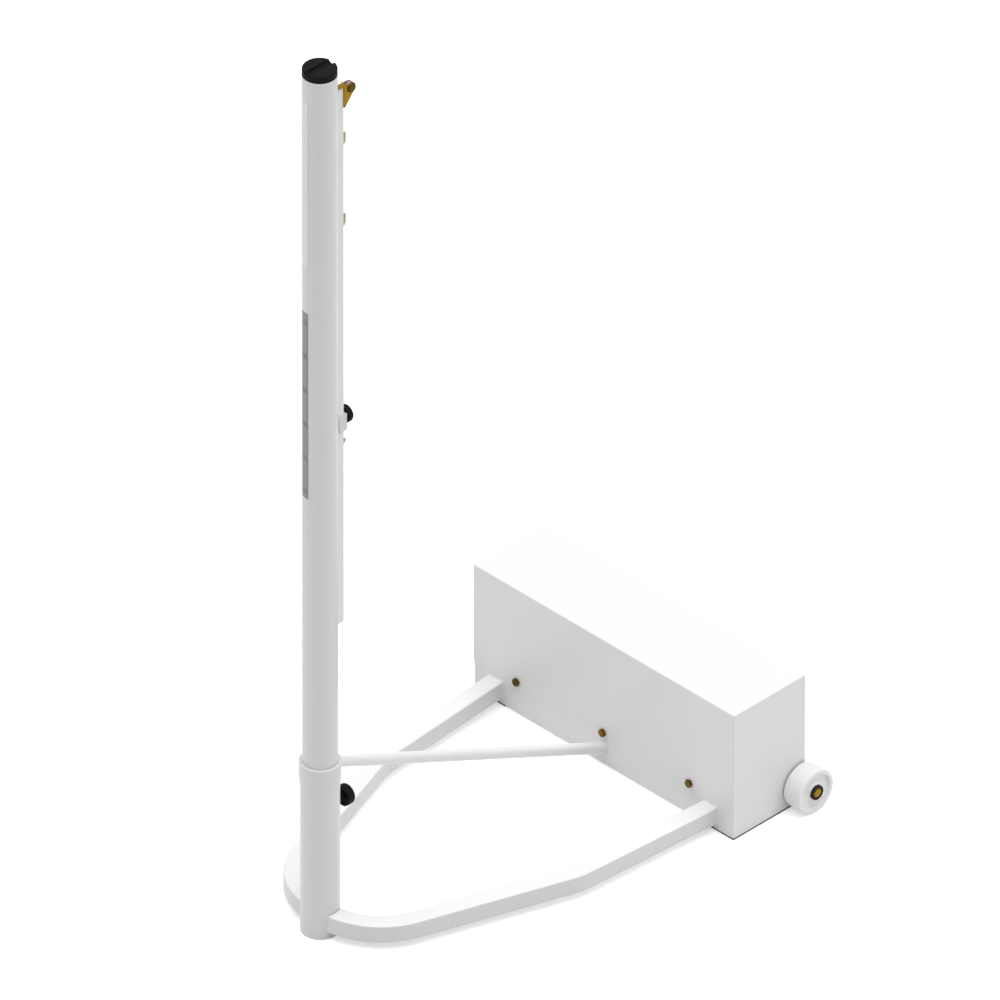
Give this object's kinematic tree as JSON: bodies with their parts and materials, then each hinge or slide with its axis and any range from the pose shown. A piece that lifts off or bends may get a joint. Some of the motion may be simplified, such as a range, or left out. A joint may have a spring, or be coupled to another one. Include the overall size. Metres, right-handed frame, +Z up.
{
  "type": "volleyball net post",
  "caption": "Free-standing net post: round post with rail, hooks and pulley, held in a sleeve on a swept base with a wheeled ballast box.",
  "frame": {"origin": "on the post's axis at floor level, the middle of the foot plate's underside", "axes": "+Z up along the post, -Y towards the court, +Y towards the ballast box, +X to the right seen from the court"},
  "size_m": [1.0346, 1.32, 2.566],
  "materials": {
    "white_paint": "white powder coat, satin",
    "yellow_zinc": "yellow zinc plate",
    "black_plastic": "black moulded plastic",
    "white_nylon": "white moulded nylon",
    "plain_steel": "plain zinc plate",
    "rubber": "matt sheet rubber",
    "cast_iron": "rough casting, painted black",
    "pulley_grey": "grey moulded nylon",
    "axle_bronze": "dark yellow zinc plate",
    "scale_film": "printed film, plain ticks",
    "label_film": "plain white film"
  },
  "bodies": {
    "base": {"base_sleeve": "white_paint", "foot_plate": "white_paint", "base_leg_right": "white_paint", "base_leg_left": "white_paint", "base_brace": "white_paint", "box_cover": "white_paint", "box_tray": "white_paint", "pad_right": "rubber", "pad_left": "rubber", "ballast_bar_1": "cast_iron", "ballast_bar_2": "cast_iron", "ballast_bar_3": "cast_iron", "ballast_bar_4": "cast_iron", "box_bolt_1": "yellow_zinc", "box_bolt_2": "yellow_zinc", "box_bolt_3": "yellow_zinc", "box_nut_1": "plain_steel", "box_nut_2": "plain_steel", "box_nut_3": "plain_steel", "clamp_boss": "white_paint", "wheel_bolt_right": "yellow_zinc", "wheel_bolt_left": "yellow_zinc", "wheel_washer_right": "black_plastic", "wheel_washer_left": "black_plastic", "wheel_spacer_right": "plain_steel", "wheel_spacer_left": "plain_steel", "wheel_nut_right": "plain_steel", "wheel_nut_left": "plain_steel"},
    "post": {"post_tube": "white_paint", "post_cap": "black_plastic", "post_rail": "white_paint", "pulley_cheek_right": "yellow_zinc", "pulley_cheek_left": "yellow_zinc", "pulley_axle": "axle_bronze", "pulley_nut": "yellow_zinc", "scale_strip": "scale_film", "blank_label": "label_film"},
    "pulley": {"pulley": "pulley_grey"},
    "upper_hook": {"rope_hook_upper": "yellow_zinc"},
    "middle_hook": {"rope_hook_middle": "yellow_zinc"},
    "lower_hook": {"rope_hook_lower": "yellow_zinc"},
    "carriage": {"carriage_block": "white_paint", "carriage_nut": "plain_steel"},
    "carriage_knob": {"carriage_knob": "black_plastic", "carriage_stud": "plain_steel"},
    "clamp_knob": {"clamp_knob": "black_plastic", "clamp_stud": "plain_steel"},
    "wheel_right": {"wheel_right": "white_nylon"},
    "wheel_left": {"wheel_left": "white_nylon"}
  },
  "joints": [
    {"name": "post_lift", "type": "slide", "parent": "base", "child": "post", "axis": [0, 0, 1], "range_m": [0, 0.52]},
    {"name": "pulley_spin", "type": "hinge", "parent": "post", "child": "pulley", "pos_m": [0.0105, 0.09005, 2.471], "axis": [1, 0, 0], "continuous": true},
    {"name": "upper_hook_slide", "type": "slide", "parent": "post", "child": "upper_hook", "axis": [0, 0, 1], "range_m": [-0.08, 0.06]},
    {"name": "middle_hook_slide", "type": "slide", "parent": "post", "child": "middle_hook", "axis": [0, 0, 1], "range_m": [-0.08, 0.08]},
    {"name": "lower_hook_slide", "type": "slide", "parent": "post", "child": "lower_hook", "axis": [0, 0, 1], "range_m": [-0.42, 0.02]},
    {"name": "carriage_slide", "type": "slide", "parent": "post", "child": "carriage", "axis": [0, 0, 1], "range_m": [-0.01, 0.42]},
    {"name": "carriage_knob_turn", "type": "hinge", "parent": "carriage", "child": "carriage_knob", "pos_m": [0, 0.0775, 1.5005], "axis": [0, 1, 0], "range_deg": [0, 360]},
    {"name": "clamp_knob_turn", "type": "hinge", "parent": "base", "child": "clamp_knob", "pos_m": [0, 0.0735, 0.361], "axis": [0, 1, 0], "range_deg": [0, 360]},
    {"name": "wheel_right_roll", "type": "hinge", "parent": "base", "child": "wheel_right", "pos_m": [0.4845, 1.207, 0.06], "axis": [1, 0, 0], "continuous": true},
    {"name": "wheel_left_roll", "type": "hinge", "parent": "base", "child": "wheel_left", "pos_m": [-0.4845, 1.207, 0.06], "axis": [1, 0, 0], "continuous": true}
  ]
}
